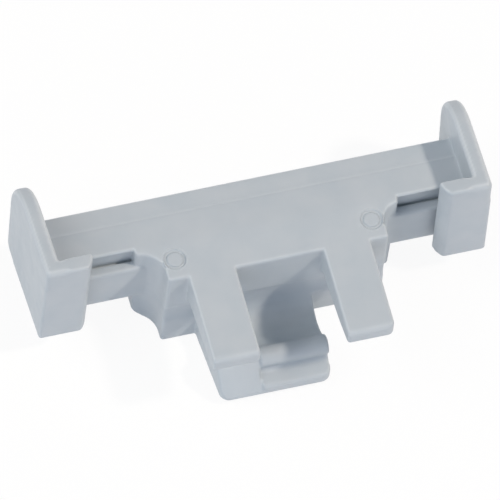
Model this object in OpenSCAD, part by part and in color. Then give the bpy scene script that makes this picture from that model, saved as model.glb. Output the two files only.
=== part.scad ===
// Clip-on marker holder for a row of terminal blocks, moulded in one piece.
// A sloping label tray lies between two end flanges, and a snap clip stands out of its front.
// Millimetres, +Z up. The origin is on the axis of the clip's round seat, midway along the lower jaw.
// The clip opens towards -Y and the tray lies behind it, towards +Y.

/* [Label tray] */
// overall length over both end flanges
tray_len = 44.5; // [41:0.5:52]
// slope of the label floor, the rim and the underside, in degrees, falling to the back
tray_tilt = 10; // [4:1:14]
// width of the label floor, along its slope
floor_w = 5.8; // [5:0.05:6.5]
// width of the back strip of the floor, behind the fine step
strip_w = 2.4; // [1.5:0.1:3]
// drop of the back strip at the fine step
strip_step = 0.12; // [0.05:0.01:0.2]
// depth of the rail under the label floor
rail_h = 8; // [6.6:0.1:8.2]
// depth of the ledge under the front edge of the floor
ledge_drop = 2.3; // [1.6:0.1:3]
// width of the ledge
ledge_w = 1; // [0.8:0.05:1.6]

/* [End flanges] */
// thickness of an end flange
flange_t = 1.65; // [1.2:0.05:2.4]
// depth of a flange at the height of the plate
flange_d = 12.75; // [11.5:0.05:13.5]
// height of the flange rim over the label floor
rim_h = 4.3; // [3:0.1:5]
// depth of the flange's underside under the label floor
flange_h = 8.55; // [8.1:0.05:9]
// backward lean of the flange's back edge, in degrees
flange_lean = 5; // [0:1:10]
// rounding of the flange's upper back corner
flange_r = 5.4; // [3:0.1:6]
// rounding of the flange's lower back corner
flange_corner_r = 1.3; // [0.5:0.1:1.8]
// rounding of the flange's lower front corner
flange_toe_r = 0.3; // [0.2:0.1:0.6]
// length of the return at the front of each flange, with the flange
return_len = 4.95; // [4:0.05:6]
// thickness of the return
return_t = 1.7; // [1.2:0.1:2.4]
// distance of the return's front face behind the front wall of the body
return_set = 0.6; // [0.2:0.1:1]
// radius of the return's bowed inner end
return_end_r = 2.2; // [1.8:0.1:3]

/* [Body] */
// sideways offset of the body from the middle of the tray
body_shift = 1.1; // [0:0.1:2]
// sideways offset of the body's outline from the middle of the fingers, to the left
wing_shift = 0.1; // [0:0.05:0.4]
// width of the body at its front wall
body_w = 22; // [21.5:0.1:26]
// depth of the level plate on top of the body, from the floor to the front wall
plate_d = 4.05; // [3.6:0.05:5]
// height of the body
body_h = 12.45; // [12.2:0.05:13.4]
// radius of the hollow corner between the body's left side and the rail
flare_r = 2.4; // [1.5:0.1:2.6]
// radius of the hollow corner at the right side
flare_right_r = 1.85; // [1.3:0.05:2.4]
// thickness of the flare at its outer end
flare_tip = 0.65; // [0.4:0.05:1]
// rounding of the upright corners of the base under the rail
base_r = 0.6; // [0.3:0.1:1]
// draft of the body's outer ends, in degrees
end_draft = 1.5; // [0:0.5:3]
// rounding of the lower corner of the left flare
nose_r = 1.6; // [1:0.1:2]
// diameter of the ejector marks
mark_d = 2.15; // [1.5:0.05:2.2]
// distance between the ejector marks
mark_gap = 19.6; // [17:0.1:19.6]
// distance of the marks behind the front wall
mark_in = 2.15; // [1.8:0.05:2.4]
// width of the groove round each mark
mark_line = 0.3; // [0.1:0.05:0.4]
// depth of that groove
mark_depth = 0.18; // [0.05:0.01:0.25]

/* [Clip] */
// diameter of the rod that the clip holds
seat_d = 5.1; // [5:0.05:5.2]
// distance from the front wall to the axis of the seat
seat_in = 2.35; // [2.3:0.05:2.45]
// height of the plate over the axis of the seat
seat_drop = 7.4; // [7.35:0.05:7.5]
// height of the seat's upright stretch over its axis
seat_rise = 0.8; // [0.5:0.1:1]
// width of an upper finger
finger_w = 4.7; // [3.5:0.1:5.5]
// gap between the upper fingers
finger_gap = 8.7; // [8:0.1:9.5]
// length of an upper finger in front of the wall
finger_len = 9.6; // [8.5:0.05:11]
// thickness of an upper finger at the wall, above its web
finger_root_t = 4; // [3.4:0.05:4.3]
// radius of the hollow web between a finger and the wall
web_r = 1.6; // [1:0.1:1.8]
// thickness of an upper finger where its underside turns up to the end
finger_neck_t = 2.6; // [2.2:0.05:2.8]
// length of the stretch that turns up to the end
finger_flat = 2.65; // [2:0.05:3]
// thickness of an upper finger at its end
finger_t = 1.75; // [1.4:0.05:1.8]
// rounding of the upper edge at a finger's end
finger_r = 0.6; // [0.3:0.1:1]
// rounding of a finger's outer corner in plan
finger_side_r = 0.7; // [0.3:0.1:1]
// width of the lower jaw at its front
jaw_w = 11; // [10:0.1:12]
// widening of the jaw's left side from its front to the wall
jaw_flare = 0.4; // [0:0.05:0.6]
// distance from the right finger to the lower jaw
jaw_gap = 0.6; // [0.4:0.1:1.2]
// length of the lower jaw in front of the wall
jaw_len = 8.3; // [8:0.05:9]
// rise of the jaw's underside from the wall to its front
jaw_rise = 1; // [0.7:0.05:1.3]
// rounding of the jaw's front corners in plan
jaw_side_r = 1; // [0.3:0.1:1.2]
// radius of the retaining bead
bead_r = 1; // [0.9:0.05:1.1]
// distance from the wall to the middle of the bead
bead_in = 5.75; // [5.7:0.05:6]
// depth of the middle of the bead under the plate
bead_drop = 8.5; // [8.4:0.05:8.7]
// distance from the wall to the hollow in front of the bead
crook_in = 6.5; // [6.4:0.05:6.7]
// radius of that hollow
crook_r = 0.45; // [0.2:0.05:0.5]
// depth of the lip under the plate, where it leaves the bead
lip_drop = 9.8; // [9.5:0.05:10]
// fall of the lip towards its front edge
lip_fall = 0.3; // [0.1:0.05:0.5]
// rounding of the lip's front edge
lip_r = 0.5; // [0.3:0.1:0.6]
// width of the plain ramp at the left end of the lip
ramp_w = 4.1; // [3:0.1:5]
// depth of the ramp's top under the plate
ramp_drop = 8.2; // [8:0.05:8.5]
// distance from the wall to the ramp's top
ramp_in = 6.3; // [6.1:0.05:6.5]
// height of the ramp's upright front
ramp_foot = 0.4; // [0.2:0.1:0.6]

/* [Hidden] */
$fn = 64;
eps = 0.02;
far = 40;
seat_r = seat_d / 2;
wall_y = seat_in;
plate_z = seat_drop;
base_z = plate_z - body_h;
floor_y = wall_y + plate_d;
front_y = wall_y + return_set;
back_y = front_y + flange_d;
mid_x = jaw_w / 2 + jaw_gap - finger_gap / 2;
tray_x = mid_x - body_shift;
wing_x = mid_x - wing_shift;
left_x = tray_x - tray_len / 2;
right_x = tray_x + tray_len / 2;
base_left = wing_x - body_w / 2 - flare_r;
base_right = wing_x + body_w / 2 + flare_right_r;
base_back = floor_y + floor_w * cos(tray_tilt) - rail_h * sin(tray_tilt);
tip_y = wall_y - finger_len;
lip_y = wall_y - jaw_len;
lip_z = base_z + jaw_rise;

// The direction of an angle, as a unit step.
function step_to(angle) = [cos(angle), sin(angle)];
// The height of a line that crosses the tray at a distance h over its floor.
function slope_z(y, h) = plate_z + h / cos(tray_tilt) - (y - floor_y) * tan(tray_tilt);
// The place of the flange's back edge at a height.
function lean_y(z) = back_y + (z - plate_z) * tan(flange_lean);
// The height at which the back edge meets such a line.
function back_z(h) =
  plate_z + (h / cos(tray_tilt) - (back_y - floor_y) * tan(tray_tilt))
  / (1 + tan(flange_lean) * tan(tray_tilt));

// Draws a profile of Y and Z, and carries it from one X to another.
module along_x(from_x, to_x) {
  translate([from_x, 0, 0])
    rotate([90, 0, 90])
      linear_extrude(to_x - from_x)
        children();
}

// What a rounding of radius r takes off a corner whose edges leave it at angles a and b, a before b.
module corner_cut(corner, a, b, r) {
  half = (b - a) / 2;
  run = r / tan(half);
  middle = corner + step_to(a + half) * r / sin(half);
  difference() {
    polygon([
      middle,
      corner + step_to(b) * run + step_to(b + 90),
      corner - step_to(a + half) * 2,
      corner + step_to(a) * run + step_to(a - 90)
    ]);
    translate(middle)
      circle(r);
  }
}

module flange_profile() {
  top_z = slope_z(front_y, rim_h);
  low_z = slope_z(front_y, -flange_h);
  top_back = [lean_y(back_z(rim_h)), back_z(rim_h)];
  low_back = [lean_y(back_z(-flange_h)), back_z(-flange_h)];
  difference() {
    polygon([[front_y, top_z], [front_y, low_z], low_back, top_back]);
    corner_cut(top_back, 180 - tray_tilt, 270 - flange_lean, flange_r);
    corner_cut(low_back, 90 - flange_lean, 180 - tray_tilt, flange_corner_r);
    corner_cut([front_y, low_z], -tray_tilt, 90, flange_toe_r);
  }
}

// The sloping frame of the tray: x runs back along the floor, y stands up from it.
module on_tray() {
  translate([floor_y, plate_z])
    rotate(-tray_tilt)
      children();
}

module rail_profile() {
  difference() {
    intersection() {
      union() {
        translate([floor_y, -far])
          square([far, 2 * far]);
        translate([floor_y - ledge_w, -far])
          square([ledge_w + eps, far + plate_z - ledge_drop]);
      }
      on_tray()
        translate([-far, -rail_h])
          square([far + floor_w, rail_h]);
    }
    on_tray()
      translate([floor_w - strip_w, -strip_step])
        square([strip_w + 1, 1]);
  }
}

// The return at the left flange, with a bowed inner end.
module left_return() {
  end_x = left_x + return_len - return_end_r;
  intersection() {
    along_x(left_x, left_x + return_len + 1)
      intersection() {
        flange_profile();
        translate([front_y, -far])
          square([return_t, 2 * far]);
      }
    translate([0, 0, -far])
      linear_extrude(2 * far) {
        translate([left_x - 1, front_y - 1])
          square([end_x - left_x + 1, return_t + 2]);
        translate([end_x, front_y + return_t])
          circle(return_end_r);
      }
  }
}

module left_end() {
  along_x(left_x, left_x + flange_t)
    flange_profile();
  left_return();
}

module tray() {
  along_x(left_x + flange_t / 2, right_x - flange_t / 2)
    rail_profile();
  left_end();
  translate([2 * tray_x, 0, 0])
    mirror([1, 0, 0])
      left_end();
}

// The right half of the body's outline in plan, with a hollow corner of radius r beside the rail.
module half_outline(r) {
  tip_x = body_w / 2 + r;
  difference() {
    union() {
      square([body_w / 2, plate_d + eps]);
      translate([0, plate_d - flare_tip - r])
        square([tip_x, flare_tip + r + eps]);
    }
    translate([tip_x, plate_d - flare_tip - r])
      circle(r);
  }
}

module body_outline() {
  translate([wing_x, wall_y])
    half_outline(flare_right_r);
  translate([wing_x, wall_y])
    mirror([1, 0])
      half_outline(flare_r);
}

// The outline of the base under the rail.
module base_outline() {
  difference() {
    translate([base_left, floor_y])
      square([base_right - base_left, base_back - floor_y]);
    corner_cut([base_left, base_back], 270, 360, base_r);
    corner_cut([base_right, base_back], 180, 270, base_r);
  }
}

// The body's front view, narrowed towards the bottom by its draft, with a rounded corner at the left.
module draft_outline() {
  run = tan(end_draft);
  nose = [base_left + run * body_h, base_z];
  difference() {
    polygon([
      nose,
      [base_right - run * body_h, base_z],
      [base_right + run, plate_z + 1],
      [base_left - run, plate_z + 1]
    ]);
    corner_cut(nose, 0, 90 + end_draft, nose_r);
  }
}

module ejector_mark(x) {
  translate([x, wall_y + mark_in, plate_z - mark_depth])
    difference() {
      cylinder(h = 1, d = mark_d);
      translate([0, 0, -eps])
        cylinder(h = 2, d = mark_d - 2 * mark_line);
    }
}

module body() {
  difference() {
    intersection() {
      translate([0, 0, base_z - 1]) {
        linear_extrude(body_h + 1)
          body_outline();
        linear_extrude(body_h - ledge_drop - 1)
          base_outline();
      }
      translate([0, far, 0])
        rotate([90, 0, 0])
          linear_extrude(2 * far)
            draft_outline();
    }
    for (side = [-1, 1])
      ejector_mark(wing_x + side * mark_gap / 2);
  }
}

// An upper finger that thins out to its free end, with a hollow web under its root.
module finger_profile() {
  root = [wall_y, plate_z - finger_root_t];
  taper = atan((finger_root_t - finger_neck_t) / (finger_len - finger_flat));
  difference() {
    polygon([
      [wall_y + 1, plate_z],
      [tip_y, plate_z],
      [tip_y, plate_z - finger_t],
      [tip_y + finger_flat, plate_z - finger_neck_t],
      root,
      [wall_y + 1, plate_z - finger_root_t]
    ]);
    corner_cut([tip_y, plate_z], 270, 360, finger_r);
  }
  corner_cut(root, 180 - taper, 270, web_r);
}

module finger_outline() {
  difference() {
    translate([0, tip_y])
      square([finger_w, finger_len + 1]);
    corner_cut([finger_w, tip_y], 90, 180, finger_side_r);
  }
}

module right_finger() {
  intersection() {
    along_x(mid_x + finger_gap / 2, mid_x + finger_gap / 2 + finger_w)
      finger_profile();
    translate([mid_x + finger_gap / 2, 0, plate_z - 10])
      linear_extrude(20)
        finger_outline();
  }
}

// The lower jaw under the seat, up to the middle of the bead.
module jaw_floor() {
  polygon([
    [wall_y + 1, plate_z - bead_drop],
    [wall_y - bead_in, plate_z - bead_drop],
    [wall_y - bead_in, base_z + jaw_rise * bead_in / jaw_len],
    [wall_y, base_z],
    [wall_y + 1, base_z]
  ]);
  translate([0, plate_z - bead_drop - eps])
    square([wall_y + 1, bead_drop - seat_drop + eps]);
}

// The retaining bead, and the lip in front of it with a rounded edge.
module lip_profile() {
  lip_top = plate_z - lip_drop;
  slope = lip_fall / (jaw_len - bead_in);
  crook = [wall_y - crook_in, lip_top - (crook_in - bead_in) * slope];
  translate([wall_y - bead_in, plate_z - bead_drop])
    circle(bead_r);
  translate(crook)
    square([crook_in - bead_in, plate_z - bead_drop - crook[1]]);
  corner_cut(crook, 90, 180 + atan(slope), crook_r);
  difference() {
    polygon([
      [wall_y - bead_in + bead_r, lip_top],
      [wall_y - bead_in, lip_top],
      [lip_y, lip_top - lip_fall],
      [lip_y, lip_z],
      [wall_y - bead_in + bead_r, base_z + jaw_rise * (bead_in - bead_r) / jaw_len]
    ]);
    corner_cut([lip_y, lip_top - lip_fall], 270, 360 + atan(slope), lip_r);
  }
}

// The plain ramp that takes the place of the lip under the left finger.
module ramp_profile() {
  polygon([
    [wall_y - bead_in + bead_r, plate_z - ramp_drop],
    [wall_y - ramp_in, plate_z - ramp_drop],
    [lip_y, lip_z + ramp_foot],
    [lip_y, lip_z],
    [wall_y - bead_in + bead_r, base_z + jaw_rise * (bead_in - bead_r) / jaw_len]
  ]);
}

// What is cut away beside the jaw in plan: the taper of its left side and its rounded corners.
module jaw_trim() {
  lean = atan(jaw_flare / jaw_len);
  polygon([
    [-jaw_w / 2 - 2, wall_y],
    [-jaw_w / 2 - 2, lip_y - 1],
    [-jaw_w / 2, lip_y - 1],
    [-jaw_w / 2, lip_y],
    [-jaw_w / 2 - jaw_flare, wall_y]
  ]);
  corner_cut([-jaw_w / 2, lip_y], 0, 90 + lean, jaw_side_r);
  corner_cut([jaw_w / 2, lip_y], 90, 180, jaw_side_r);
}

module jaw() {
  jaw_x = -jaw_w / 2 - jaw_flare;
  ramp_x = ramp_w - jaw_w / 2;
  difference() {
    union() {
      along_x(jaw_x, jaw_w / 2)
        jaw_floor();
      along_x(jaw_x, ramp_x)
        ramp_profile();
      along_x(ramp_x, jaw_w / 2)
        lip_profile();
    }
    translate([0, 0, base_z - 1])
      linear_extrude(body_h)
        jaw_trim();
  }
}

// The left finger is plain, the right finger has a rounded outer corner.
module clip() {
  along_x(mid_x - finger_gap / 2 - finger_w, mid_x - finger_gap / 2)
    finger_profile();
  right_finger();
  jaw();
}

// The round seat, with a short upright stretch that lets the rod settle.
module seat_profile() {
  circle(seat_r);
  translate([-seat_r, 0])
    square([2 * seat_r, seat_rise]);
  translate([0, seat_rise])
    circle(seat_r);
}

module marker_holder() {
  color([0.72, 0.76, 0.79])
    difference() {
      union() {
        tray();
        body();
        clip();
      }
      along_x(base_left, base_right)
        seat_profile();
    }
}

marker_holder();
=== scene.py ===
"""Looks of the clip-on marker holder: one moulding of satin light grey plastic with rounded edges."""
import math

import bpy
import numpy as np
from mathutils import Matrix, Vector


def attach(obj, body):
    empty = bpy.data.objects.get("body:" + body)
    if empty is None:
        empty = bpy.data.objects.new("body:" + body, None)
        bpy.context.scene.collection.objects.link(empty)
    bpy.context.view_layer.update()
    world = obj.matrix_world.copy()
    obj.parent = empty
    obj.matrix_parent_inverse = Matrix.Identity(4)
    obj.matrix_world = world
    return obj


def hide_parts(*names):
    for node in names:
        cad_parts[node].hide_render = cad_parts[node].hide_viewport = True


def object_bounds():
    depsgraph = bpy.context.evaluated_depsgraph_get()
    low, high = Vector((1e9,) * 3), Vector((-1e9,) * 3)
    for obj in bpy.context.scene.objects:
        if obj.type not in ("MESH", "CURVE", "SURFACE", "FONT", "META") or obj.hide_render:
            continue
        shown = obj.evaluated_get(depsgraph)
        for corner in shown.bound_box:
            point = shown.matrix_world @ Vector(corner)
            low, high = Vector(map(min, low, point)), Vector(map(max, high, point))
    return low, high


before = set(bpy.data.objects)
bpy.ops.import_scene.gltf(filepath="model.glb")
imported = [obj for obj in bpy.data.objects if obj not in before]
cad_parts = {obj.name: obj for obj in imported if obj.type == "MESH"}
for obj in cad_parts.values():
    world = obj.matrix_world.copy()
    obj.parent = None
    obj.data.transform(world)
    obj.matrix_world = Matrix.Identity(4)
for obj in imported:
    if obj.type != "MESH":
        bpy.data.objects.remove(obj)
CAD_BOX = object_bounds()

import openvdb
from mathutils import Matrix, Vector

NODE = "marker_holder"
MM = 0.001

# Rounding of the moulding's edges: soft round the end flanges' rims and backs, crisp everywhere else
VOXEL = 0.085 * MM
NEAR = 3 * VOXEL
CRISP_R = 0.22 * MM
SOFT_R = 0.50 * MM
HOLLOW_R = 0.07 * MM
FLANGE_T = 1.65 * MM
RIM_Z = 9.2 * MM
BACK_Y = 12.6 * MM
BLEND = 0.6 * MM
FLAT_MERGE = 0.02

# The ejector marks on the plate, whose ring grooves stay sharp: centres, reach and a height just below them
MARKS = ((-8.15 * MM, 4.5 * MM), (11.45 * MM, 4.5 * MM))
MARK_R = 1.2 * MM
MARK_Z = 7.0 * MM

# Shallow grooves in the wall behind the ledge, one at each slot beside the body
GROOVES_X = ((-18.5 * MM, -11.75 * MM), (14.65 * MM, 19.8 * MM))
GROOVE_Y = (6.4 * MM, 6.7 * MM)
GROOVE_Z = (4.55 * MM, 6.9 * MM)
GROOVE_SOFT = 0.25 * MM

# Painted highlight along the edges: how deep the rounding lies under the sharp edge, and how far it may
# face the back
PAINTED_HIGHLIGHT = "painted_highlight"
HIGHLIGHT_START = 0.012 * MM
HIGHLIGHT_FULL = 0.055 * MM
HIGHLIGHT_BACK_LIMIT = 0.5
HIGHLIGHT_FORWARD_GAIN = 1.5

# The photograph's view: a parallel one, from the left of the front and from above, with angles in degrees
VIEW_AZIMUTH = -21.52
VIEW_ELEVATION = 61.96
VIEW_ROLL = 7.69
VIEW_WIDTH = 48.1 * MM
VIEW_CENTRE = Vector((-0.83, 3.87, 7.4)) * MM
VIEW_DISTANCE = 0.3
VIEW_CLIP = (0.001, 20.0)

# The plastic, with linear colours and noise scales per metre
PLASTIC = (0.485, 0.528, 0.562)
PLASTIC_DULL = (0.445, 0.497, 0.538)
# The paler colour of the painted highlight on the edges
PLASTIC_HIGHLIGHT = (0.590, 0.635, 0.665)
PLASTIC_IOR = 1.47
NOISE_MIDDLE = (0.3, 0.7)
CLOUD_SCALE = 300.0
CLOUD_DETAIL = 6.0
GLOSS_SCALE = 900.0
GLOSS_DETAIL = 3.0
ROUGHNESS = (0.40, 0.52)
GRAIN_SCALE = 5200.0
GRAIN_DETAIL = 2.0
GRAIN_STRENGTH = 0.15
GRAIN_HEIGHT = 0.03 * MM

# The studio
SKY = (0.75, 0.82, 1.0)
SKY_STRENGTH = 0.25
WHITE = (1.0, 1.0, 1.0)
FLOOR = (0.95, 0.95, 0.95)
FLOOR_GLOW = 0.92
FLOOR_HALF = 2.0


def grid_of(points, band, triangles=None, quads=None):
    """The signed distance to a closed surface, out to a band on both sides, as a level set."""
    faces = {"triangles": triangles} if quads is None else {"quads": quads}
    return openvdb.FloatGrid.createLevelSetFromPolygons(
        points, transform=openvdb.createLinearTransform(voxelSize=VOXEL), halfWidth=band / VOXEL, **faces)


def shifted(grid, offset, band):
    """The level set of the surface that lies offset outside a level set's own."""
    points, quads = grid.convertToQuads(offset)
    return grid_of(points, band, quads=quads)


def node_arrays(node):
    """A node's vertices and triangles."""
    mesh = node.data
    mesh.calc_loop_triangles()
    points = np.zeros(len(mesh.vertices) * 3, np.float32)
    mesh.vertices.foreach_get("co", points)
    triangles = np.zeros(len(mesh.loop_triangles) * 3, np.int32)
    mesh.loop_triangles.foreach_get("vertices", triangles)
    return points.reshape(-1, 3), triangles.reshape(-1, 3).astype(np.uint32)


def distances(grid, low, shape):
    """A level set's values in a block of voxels, whose first voxel is low."""
    values = np.empty(shape, np.float32)
    grid.copyToArray(values, ijk=low)
    return values


def axes(low, shape):
    """Where a block's voxels lie along x, y and z."""
    return ((start + np.arange(count)) * VOXEL for start, count in zip(low, shape))


def rounded(solid, radius, low, shape):
    """Distances to the solid with outer edges rounded by radius and inner corners by HOLLOW_R."""
    core = shifted(solid, -radius, radius + HOLLOW_R + NEAR)
    swollen = shifted(core, radius + HOLLOW_R, HOLLOW_R + NEAR)
    return distances(swollen, low, shape) + HOLLOW_R


def sampled(values, low, points):
    """Voxel values at points between the voxels."""
    place = points / VOXEL - np.array(low)
    start = np.floor(place).astype(int)
    part = place - start
    total = np.zeros(len(points))
    for corner in np.ndindex(2, 2, 2):
        share = np.prod(np.where(corner, part, 1.0 - part), axis=1)
        total += share * values[tuple((start + corner).T)]
    return total


def ramp(distance):
    """0 before a border and 1 behind it, with an even change over the width of BLEND."""
    return np.clip(distance / BLEND + 0.5, 0.0, 1.0).astype(np.float32)


def soft_share(low, shape):
    """How far each voxel's edges are soft: 1 at the rims and backs of the two end flanges, 0 elsewhere."""
    x, y, z = axes(low, shape)
    left_inside = CAD_BOX[0][0] + FLANGE_T + BLEND
    right_inside = CAD_BOX[1][0] - FLANGE_T - BLEND
    ends = ramp(np.maximum(left_inside - x, x - right_inside))
    rim_or_back = np.maximum(ramp(y - BACK_Y)[:, None], ramp(z - RIM_Z)[None, :])
    return ends[:, None, None] * rim_or_back


def mark_share(low, shape):
    """1 at the ring grooves of the ejector marks, whose edges stay sharp, and 0 elsewhere."""
    x, y, z = axes(low, shape)
    reach = np.min([np.hypot(x[:, None] - at_x, y[None, :] - at_y) for at_x, at_y in MARKS], axis=0)
    return ((reach < MARK_R)[:, :, None] & (z > MARK_Z)[None, None, :]).astype(np.float32)


def outside(place, ends):
    """How far places on an axis lie outside a stretch of it, negative inside."""
    return np.maximum(ends[0] - place, place - ends[1])


def groove_distances(low, shape):
    """Distances to the two shallow grooves behind the ledge."""
    x, y, z = axes(low, shape)
    along = np.min([outside(x, ends) for ends in GROOVES_X], axis=0)
    section = np.maximum(outside(y, GROOVE_Y)[:, None], outside(z, GROOVE_Z)[None, :])
    return np.maximum(along[:, None, None], section[None, :, :]).astype(np.float32)


def cut(values, tool):
    """Distances to a solid less a tool, with a softened rim where the tool leaves the solid."""
    near = np.clip(1.0 - np.abs(values + tool) / GROOVE_SOFT, 0.0, 1.0)
    return np.clip(np.maximum(values, -tool) + GROOVE_SOFT / 4 * near ** 2, values.min(), values.max())


def painted_highlight_share(mesh, depth):
    """How much painted highlight each vertex gets: the deeper its rounding and the more it faces forward,
    the paler.
    """
    normals = np.zeros(len(mesh.vertices) * 3, np.float32)
    mesh.vertices.foreach_get("normal", normals)
    facing_back = normals.reshape(-1, 3)[:, 1]
    forward = np.clip(HIGHLIGHT_FORWARD_GAIN * (HIGHLIGHT_BACK_LIMIT - facing_back), 0.0, 1.0)
    return np.clip((depth - HIGHLIGHT_START) / (HIGHLIGHT_FULL - HIGHLIGHT_START), 0.0, 1.0) * forward


def rounded_moulding(node):
    """The node's solid as a mesh with rounded edges, the two grooves and a painted edge highlight at each
    vertex.
    """
    points, triangles = node_arrays(node)
    margin = int((HOLLOW_R + NEAR) / VOXEL) + 2
    low = tuple(int(v) - margin for v in np.floor(points.min(axis=0) / VOXEL))
    shape = tuple(int(v) + margin - start for v, start in zip(np.ceil(points.max(axis=0) / VOXEL), low))
    solid = grid_of(points, SOFT_R + NEAR, triangles=triangles)
    crisp = rounded(solid, CRISP_R, low, shape)
    soft = rounded(solid, SOFT_R, low, shape)
    grooves = groove_distances(low, shape)
    sharp = np.maximum(distances(solid, low, shape), -grooves)
    marks = mark_share(low, shape)
    edges = cut(crisp + (soft - crisp) * soft_share(low, shape), grooves)
    moulding = openvdb.FloatGrid(float(crisp.max()))
    moulding.transform = openvdb.createLinearTransform(voxelSize=VOXEL)
    moulding.copyFromArray(np.where(marks > 0.5, np.clip(sharp, crisp.min(), crisp.max()), edges), ijk=low)
    points, triangles, quads = moulding.convertToPolygons(0.0, FLAT_MERGE)
    mesh = bpy.data.meshes.new("holder")
    faces = [list(map(int, f[::-1])) for f in (*triangles, *quads)]
    mesh.from_pydata([tuple(map(float, p)) for p in points], [], faces)
    mesh.validate()
    mesh.shade_smooth()
    # Painted highlight: rounded edges turn paler the more they face forward, but not at the ejector marks
    highlight_share = painted_highlight_share(mesh, -sampled(sharp, low, points)) * (1.0 - sampled(marks, low, points))
    mesh.attributes.new(PAINTED_HIGHLIGHT, "FLOAT", "POINT").data.foreach_set("value", highlight_share.astype(np.float32))
    piece = bpy.data.objects.new("holder", mesh)
    bpy.context.scene.collection.objects.link(piece)
    return piece


def new_material(name):
    """An empty material with its nodes and links."""
    material = bpy.data.materials.new(name)
    material.use_nodes = True
    nodes = material.node_tree.nodes
    nodes.clear()
    return material, nodes, material.node_tree.links


def noise(nodes, links, coordinates, scale, detail):
    texture = nodes.new("ShaderNodeTexNoise")
    texture.inputs["Scale"].default_value = scale
    texture.inputs["Detail"].default_value = detail
    links.new(coordinates, texture.inputs["Vector"])
    return texture.outputs["Fac"]


def span(nodes, links, value, low, high):
    """Spreads the middle of a noise over low to high."""
    remap = nodes.new("ShaderNodeMapRange")
    remap.inputs["From Min"].default_value = NOISE_MIDDLE[0]
    remap.inputs["From Max"].default_value = NOISE_MIDDLE[1]
    remap.inputs["To Min"].default_value = low
    remap.inputs["To Max"].default_value = high
    links.new(value, remap.inputs["Value"])
    return remap.outputs["Result"]


def plastic():
    """Satin moulded plastic: faintly clouded colour, a painted highlight paling the edges, uneven gloss and
    a fine grain.
    """
    material, nodes, links = new_material("satin_grey_plastic")
    output = nodes.new("ShaderNodeOutputMaterial")
    shader = nodes.new("ShaderNodeBsdfPrincipled")
    links.new(shader.outputs["BSDF"], output.inputs["Surface"])
    place = nodes.new("ShaderNodeTexCoord").outputs["Object"]

    clouds = noise(nodes, links, place, CLOUD_SCALE, CLOUD_DETAIL)
    colour = nodes.new("ShaderNodeMix")
    colour.data_type = "RGBA"
    colour.inputs["A"].default_value = (*PLASTIC_DULL, 1.0)
    colour.inputs["B"].default_value = (*PLASTIC, 1.0)
    links.new(span(nodes, links, clouds, 0.0, 1.0), colour.inputs["Factor"])

    # Painted highlight: the colour goes paler on rounded edges by the per-vertex share
    edges = nodes.new("ShaderNodeMix")
    edges.data_type = "RGBA"
    edges.inputs["B"].default_value = (*PLASTIC_HIGHLIGHT, 1.0)
    links.new(colour.outputs["Result"], edges.inputs["A"])
    painted_highlight = nodes.new("ShaderNodeAttribute")
    painted_highlight.attribute_name = PAINTED_HIGHLIGHT
    links.new(painted_highlight.outputs["Fac"], edges.inputs["Factor"])
    links.new(edges.outputs["Result"], shader.inputs["Base Color"])

    gloss = noise(nodes, links, place, GLOSS_SCALE, GLOSS_DETAIL)
    links.new(span(nodes, links, gloss, *ROUGHNESS), shader.inputs["Roughness"])

    grain = noise(nodes, links, place, GRAIN_SCALE, GRAIN_DETAIL)
    bump = nodes.new("ShaderNodeBump")
    bump.inputs["Strength"].default_value = GRAIN_STRENGTH
    bump.inputs["Distance"].default_value = GRAIN_HEIGHT
    links.new(grain, bump.inputs["Height"])
    links.new(bump.outputs["Normal"], shader.inputs["Normal"])
    shader.inputs["IOR"].default_value = PLASTIC_IOR
    return material


def seen_directly(nodes, links):
    """1 for rays from the camera, a mirror or glass, and 0 for the light that falls on things."""
    path = nodes.new("ShaderNodeLightPath")
    total = path.outputs["Is Camera Ray"]
    for name in ("Is Glossy Ray", "Is Transmission Ray"):
        larger = nodes.new("ShaderNodeMath")
        larger.operation = "MAXIMUM"
        links.new(total, larger.inputs[0])
        links.new(path.outputs[name], larger.inputs[1])
        total = larger.outputs[0]
    return total


def floor_material():
    """A white floor that shows a faint shadow."""
    material, nodes, links = new_material("white_floor")
    output = nodes.new("ShaderNodeOutputMaterial")
    diffuse = nodes.new("ShaderNodeBsdfDiffuse")
    diffuse.inputs["Color"].default_value = (*FLOOR, 1.0)
    glow = nodes.new("ShaderNodeEmission")
    glow.inputs["Color"].default_value = (*WHITE, 1.0)
    glow.inputs["Strength"].default_value = 1.0
    share = nodes.new("ShaderNodeMath")
    share.operation = "MULTIPLY"
    links.new(seen_directly(nodes, links), share.inputs[0])
    share.inputs[1].default_value = FLOOR_GLOW
    mix = nodes.new("ShaderNodeMixShader")
    links.new(share.outputs[0], mix.inputs["Fac"])
    links.new(diffuse.outputs["BSDF"], mix.inputs[1])
    links.new(glow.outputs["Emission"], mix.inputs[2])
    links.new(mix.outputs["Shader"], output.inputs["Surface"])
    return material


def floor():
    """A level floor under the part."""
    z = CAD_BOX[0][2]
    corners = [(x * FLOOR_HALF, y * FLOOR_HALF, z) for x, y in ((-1, -1), (1, -1), (1, 1), (-1, 1))]
    mesh = bpy.data.meshes.new("floor")
    mesh.from_pydata(corners, [], [(0, 1, 2, 3)])
    mesh.materials.append(floor_material())
    plane = bpy.data.objects.new("floor", mesh)
    bpy.context.scene.collection.objects.link(plane)


def sky():
    """A dim bluish sky that lights the part, seen as plain white."""
    world = bpy.data.worlds.new("studio")
    bpy.context.scene.world = world
    world.use_nodes = True
    nodes, links = world.node_tree.nodes, world.node_tree.links
    nodes.clear()
    output = nodes.new("ShaderNodeOutputWorld")
    light = nodes.new("ShaderNodeBackground")
    light.inputs["Color"].default_value = (*SKY, 1.0)
    light.inputs["Strength"].default_value = SKY_STRENGTH
    seen = nodes.new("ShaderNodeBackground")
    seen.inputs["Color"].default_value = (*WHITE, 1.0)
    mix = nodes.new("ShaderNodeMixShader")
    links.new(seen_directly(nodes, links), mix.inputs["Fac"])
    links.new(light.outputs["Background"], mix.inputs[1])
    links.new(seen.outputs["Background"], mix.inputs[2])
    links.new(mix.outputs["Shader"], output.inputs["Surface"])


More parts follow.
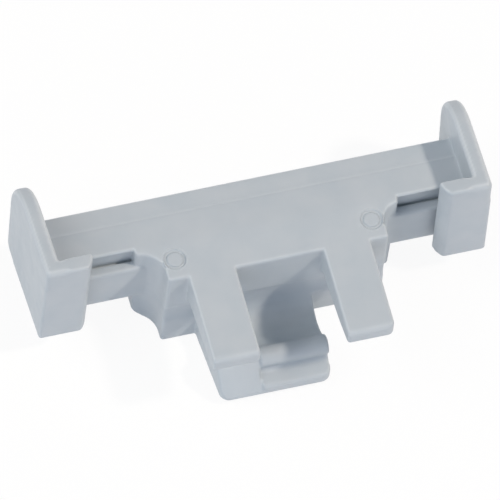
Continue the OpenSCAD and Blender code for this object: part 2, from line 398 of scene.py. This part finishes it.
def lamp(name, towards, strength, angle, colour):
    """A distant lamp that shines from the direction towards and looks angle degrees wide."""
    data = bpy.data.lights.new(name, "SUN")
    data.energy = strength
    data.angle = math.radians(angle)
    data.color = colour
    light = bpy.data.objects.new(name, data)
    light.rotation_euler = Vector(towards).to_track_quat("Z", "Y").to_euler()
    bpy.context.scene.collection.objects.link(light)


def camera():
    """The photograph's view."""
    azimuth, elevation, roll = (math.radians(a) for a in (VIEW_AZIMUTH, VIEW_ELEVATION, VIEW_ROLL))
    level = Vector((math.cos(azimuth), math.sin(azimuth), 0.0))
    back = Vector((math.sin(azimuth) * math.cos(elevation), -math.cos(azimuth) * math.cos(elevation),
                   math.sin(elevation)))
    upright = back.cross(level)
    right = level * math.cos(roll) + upright * math.sin(roll)
    up = back.cross(right)
    data = bpy.data.cameras.new("camera")
    data.type = "ORTHO"
    data.ortho_scale = VIEW_WIDTH
    data.clip_start, data.clip_end = VIEW_CLIP
    eye = bpy.data.objects.new("camera", data)
    place = Matrix((right, up, back)).transposed().to_4x4()
    place.translation = VIEW_CENTRE + back * VIEW_DISTANCE
    eye.matrix_world = place
    bpy.context.scene.collection.objects.link(eye)
    bpy.context.scene.camera = eye


camera()
bpy.context.scene.view_settings.view_transform = "Standard"
sky()
lamp("key", towards=(0.66, -0.34, 1.0), strength=1.72, angle=5.0, colour=(1.0, 0.89, 0.77))
lamp("left", towards=(-1.0, 0.0, 1.0), strength=1.40, angle=50.0, colour=(1.0, 0.99, 0.95))
lamp("front_left", towards=(-0.5, -0.87, 0.21), strength=0.62, angle=50.0, colour=(0.77, 0.85, 1.0))
lamp("front_right", towards=(0.5, -0.87, 0.21), strength=0.28, angle=50.0, colour=(0.85, 0.90, 1.0))
lamp("back", towards=(0.5, 0.87, 0.21), strength=0.30, angle=50.0, colour=(0.92, 0.92, 1.0))
floor()

holder = rounded_moulding(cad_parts[NODE])
holder.data.materials.append(plastic())
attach(holder, "root")
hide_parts(NODE)

bpy.context.view_layer.update()
